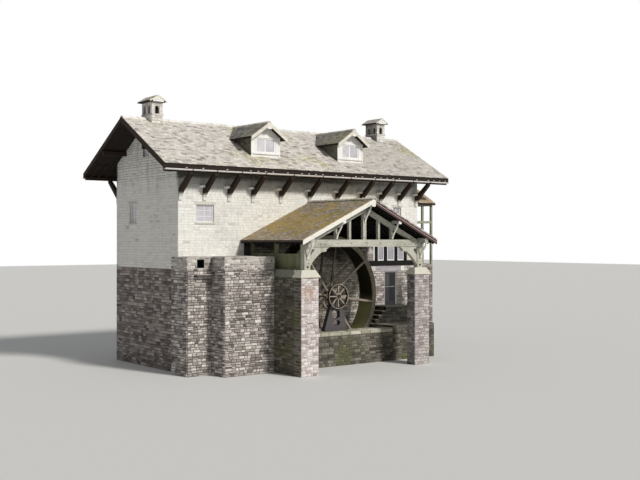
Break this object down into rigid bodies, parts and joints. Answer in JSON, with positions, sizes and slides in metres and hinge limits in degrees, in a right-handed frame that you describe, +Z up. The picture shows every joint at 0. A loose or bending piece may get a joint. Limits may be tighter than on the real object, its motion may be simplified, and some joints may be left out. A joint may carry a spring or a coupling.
{
  "type": "watermill",
  "caption": "Stone watermill with slate roof, dormers, end chimneys, entrance steps, and a large water wheel under a gabled timber porch on stone pillars; wheel turns, door opens.",
  "frame": {"origin": "middle of the whole object's box, at the floor of the wheel pit", "axes": "+X along the front wall to the right, +Y to the back, +Z up"},
  "size_m": [19.72, 13.875, 14.6004],
  "materials": {
    "limewashed_stone": "limewashed coursed rubble, grey stains",
    "stone": "coursed sandstone rubble, reddish grey",
    "chimney_stone": "dressed pale stone",
    "cap_stone": "dressed pale stone with lichen",
    "black_timber": "black paint",
    "dark_timber": "dark stain",
    "floor_boards": "bare boards",
    "pale_timber": "weathered pale greenish paint",
    "wet_timber": "wet, dark, mossy",
    "slate": "slates with moss",
    "ridge": "ridge tiles",
    "tiles": "plain tiles, mossy",
    "gutter": "pale paint",
    "white_paint": "white paint",
    "grey_paint": "grey paint",
    "glass": "old window glass",
    "iron": "dark, rusty",
    "wheel_iron": "old buff paint, rusty"
  },
  "bodies": {
    "mill": {"front_wall_left": "limewashed_stone", "front_wall_base": "stone", "door_piers": "stone", "wall_over_door": "stone", "black_beam": "black_timber", "band_piers": "limewashed_stone", "band_studs": "black_timber", "front_wall_upper": "limewashed_stone", "left_end_wall": "limewashed_stone", "right_end_wall": "limewashed_stone", "back_wall": "limewashed_stone", "ground_floor": "stone", "upper_floors": "floor_boards", "roof_front": "slate", "roof_back": "slate", "ridge_tiles": "ridge", "eaves_beams": "dark_timber", "eaves_struts": "dark_timber", "gutters": "gutter", "chimneys": "chimney_stone", "chimney_roofs": "slate", "dormer_walls": "white_paint", "dormer_roofs": "slate", "dormer_bargeboards": "white_paint", "window_frames": "white_paint", "window_glass": "glass", "door_frame": "white_paint", "door_lintel": "white_paint", "platform": "stone", "entrance_steps": "stone", "abutment": "stone", "pit_wall": "stone", "pillars": "stone", "low_side_wall": "stone", "pillar_caps": "cap_stone", "porch_posts": "pale_timber", "tie_beam": "pale_timber", "king_post_and_studs": "pale_timber", "principal_rafters": "pale_timber", "arch_braces": "pale_timber", "porch_purlins": "pale_timber", "purlin_brackets": "white_paint", "porch_roof_left": "tiles", "porch_roof_right": "tiles", "bargeboards": "white_paint", "porch_side_frame": "pale_timber", "bearing_stand": "iron", "wall_bearing": "iron", "gallery_base": "stone", "gallery_frame": "pale_timber", "gallery_roof": "tiles"},
    "water_wheel": {"wheel_rims": "wheel_iron", "wheel_sole": "wet_timber", "wheel_buckets": "wet_timber", "wheel_arms": "wheel_iron", "wheel_hubs": "wheel_iron", "wheel_axle": "iron", "wheel_pulley": "iron"},
    "door": {"door_leaf": "grey_paint"}
  },
  "joints": [
    {"name": "wheel_turn", "type": "hinge", "parent": "mill", "child": "water_wheel", "pos_m": [0, -3.3375, 3.74], "axis": [0, 1, 0], "continuous": true},
    {"name": "door_swing", "type": "hinge", "parent": "mill", "child": "door", "pos_m": [5.765, -1.2525, 3.85], "axis": [0, 0, 1], "range_deg": [0, 90]}
  ]
}
